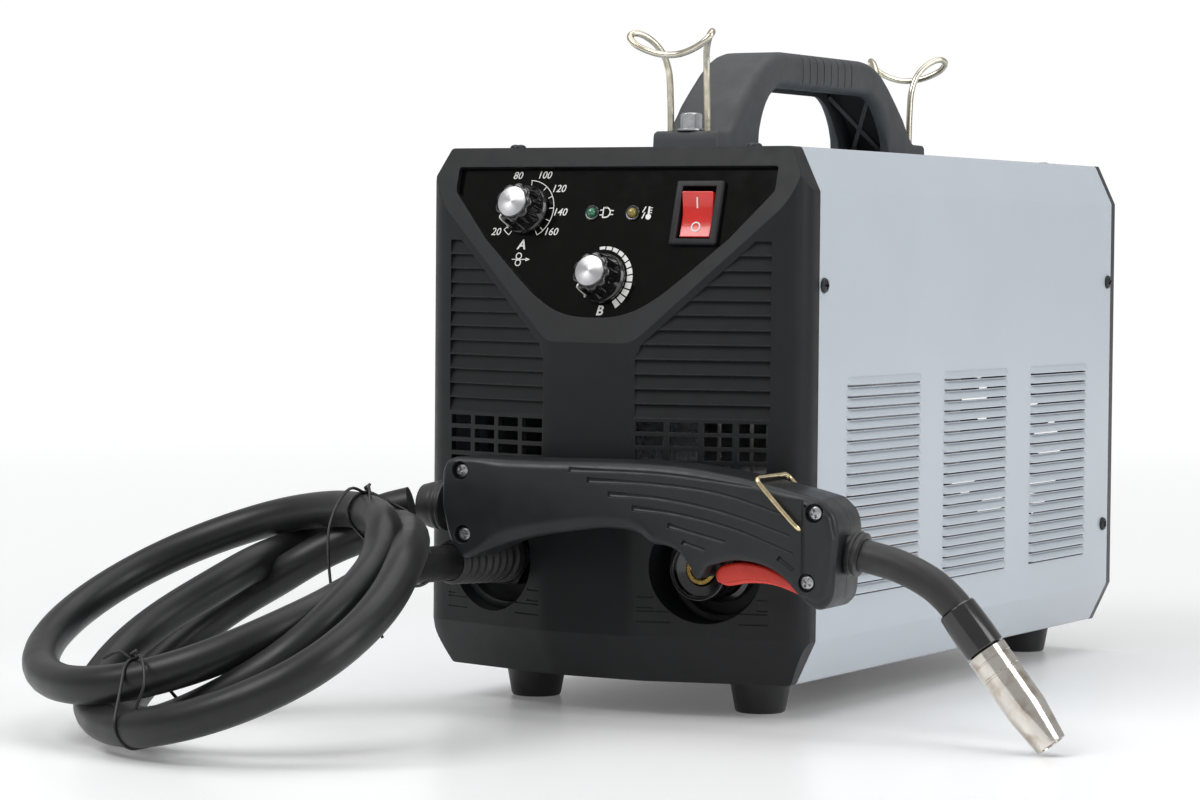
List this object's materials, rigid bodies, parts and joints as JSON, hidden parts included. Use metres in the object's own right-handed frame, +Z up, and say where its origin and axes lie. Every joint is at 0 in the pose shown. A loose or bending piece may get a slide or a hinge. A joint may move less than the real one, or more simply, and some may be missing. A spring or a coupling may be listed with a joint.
{
  "type": "wire feed welder",
  "caption": "Compact wire-feed welder on rubber feet, with a moulded front, louvred cover, carry handle, wire torch rests, torch and coiled lead.",
  "frame": {"origin": "bottom centre of the box around the machine and its torch, on the surface it stands on", "axes": "+Z up, +Y from the control panel towards the back, +X to the right seen from the front"},
  "size_m": [0.4469, 0.6771, 0.3282],
  "materials": {
    "panel_black": "fine textured matt",
    "plate_black": "gloss",
    "cover_grey": "semi-gloss",
    "grip_grey": "textured matt",
    "torch_black": "fine textured matt",
    "rubber": "soft sheen",
    "knob_black": "satin",
    "rocker_red": "gloss",
    "trigger_red": "satin",
    "led_green": "gloss",
    "led_amber": "gloss",
    "brass": "turned",
    "nickel": "polished nickel",
    "wire_nickel": "bright wire",
    "copper": "bare copper",
    "aluminium": "radially brushed",
    "steel": "ground",
    "zinc": "zinc plated",
    "black_steel": "black",
    "board_green": "solder mask",
    "spool_grey": "moulded",
    "cable_black": "soft sheen"
  },
  "bodies": {
    "case": {"front_panel": "panel_black", "control_plate": "plate_black", "cover": "cover_grey", "base_plate": "zinc", "rear_panel": "panel_black", "foot_front_left": "rubber", "foot_front_right": "rubber", "foot_rear_left": "rubber", "foot_rear_right": "rubber", "carry_handle": "grip_grey", "handle_bolt_front": "black_steel", "handle_bolt_rear": "black_steel", "torch_rest_front": "wire_nickel", "torch_rest_rear": "wire_nickel", "potentiometer_current": "zinc", "potentiometer_voltage": "zinc", "led_power": "led_green", "led_fault": "led_amber", "switch_body": "knob_black", "socket_collar": "panel_black", "socket_insert": "brass", "gland_nut": "panel_black", "mains_gland": "rubber", "main_board": "board_green", "heat_sink": "aluminium", "transformer": "copper", "fan_frame": "panel_black", "divider_wall": "zinc", "spool_spindle": "spool_grey", "feed_motor": "steel", "wire_guide": "brass", "torch_half_front": "torch_black", "torch_half_back": "torch_black", "trigger_switch": "knob_black", "torch_boot": "rubber", "torch_neck": "rubber", "neck_collar": "rubber", "nozzle_sleeve": "rubber", "torch_nozzle": "nickel", "contact_tip": "copper", "strain_relief": "rubber", "cable_lead_out": "cable_black", "cable_coil": "cable_black", "cable_lead_in": "cable_black"},
    "current_knob": {"knob_current": "knob_black", "knob_current_cap": "aluminium"},
    "voltage_knob": {"knob_voltage": "knob_black", "knob_voltage_cap": "aluminium"},
    "rocker": {"switch_rocker": "rocker_red"},
    "trigger": {"torch_trigger": "trigger_red"},
    "hanger": {"torch_hanger": "brass"},
    "door": {"side_door": "cover_grey"},
    "latch": {"door_latch": "black_steel"},
    "fan": {"fan_rotor": "panel_black"},
    "spool": {"wire_spool": "spool_grey", "welding_wire": "copper"},
    "lower_roll": {"drive_roll": "steel"},
    "arm": {"pressure_arm": "aluminium"},
    "upper_roll": {"pressure_roll": "steel"},
    "tension_screw": {"tension_knob": "spool_grey"}
  },
  "joints": [
    {"name": "current_knob_turn", "type": "hinge", "parent": "case", "child": "current_knob", "pos_m": [-0.11638, -0.16954, 0.23864], "axis": [0, 0.9588, -0.284], "range_deg": [-15, 285]},
    {"name": "voltage_knob_turn", "type": "hinge", "parent": "case", "child": "voltage_knob", "pos_m": [-0.06808, -0.17919, 0.20605], "axis": [0, 0.9588, -0.284], "range_deg": [-15, 285]},
    {"name": "rocker_tilt", "type": "hinge", "parent": "case", "child": "rocker", "pos_m": [-0.02288, -0.16639, 0.23625], "axis": [-1, 0, 0], "range_deg": [0, 18]},
    {"name": "trigger_pull", "type": "hinge", "parent": "case", "child": "trigger", "pos_m": [0.05716, -0.2069, 0.065], "axis": [-0.0698, 0.9976, 0], "range_deg": [0, 6], "stiffness_Nm_per_rad": 5, "springref_deg": -2.86},
    {"name": "hanger_swing", "type": "hinge", "parent": "case", "child": "hanger", "pos_m": [0.05716, -0.2069, 0.096], "axis": [-0.0698, 0.9976, 0], "range_deg": [0, 130]},
    {"name": "side_door_open", "type": "hinge", "parent": "case", "child": "door", "pos_m": [-0.17188, 0.17135, 0.1425], "axis": [0, 0, -1], "range_deg": [0, 110]},
    {"name": "door_latch_turn", "type": "hinge", "parent": "door", "child": "latch", "pos_m": [-0.17188, -0.11295, 0.1425], "axis": [-1, 0, 0], "range_deg": [0, 90]},
    {"name": "fan_spin", "type": "hinge", "parent": "case", "child": "fan", "pos_m": [-0.02738, 0.20005, 0.11], "axis": [0, 1, 0], "continuous": true},
    {"name": "spool_spin", "type": "hinge", "parent": "case", "child": "spool", "pos_m": [-0.14038, 0.08805, 0.14], "axis": [1, 0, 0], "continuous": true},
    {"name": "drive_roll_spin", "type": "hinge", "parent": "case", "child": "lower_roll", "pos_m": [-0.12738, -0.09195, 0.057], "axis": [1, 0, 0], "continuous": true},
    {"name": "pressure_arm_open", "type": "hinge", "parent": "case", "child": "arm", "pos_m": [-0.11438, -0.05795, 0.09], "axis": [-1, 0, 0], "range_deg": [0, 60]},
    {"name": "pressure_roll_spin", "type": "hinge", "parent": "arm", "child": "upper_roll", "pos_m": [-0.12738, -0.09195, 0.0836], "axis": [1, 0, 0], "continuous": true},
    {"name": "tension_knob_turn", "type": "hinge", "parent": "arm", "child": "tension_screw", "pos_m": [-0.12738, -0.11795, 0.0836], "axis": [0, 0, 1], "range_deg": [-180, 540]}
  ]
}
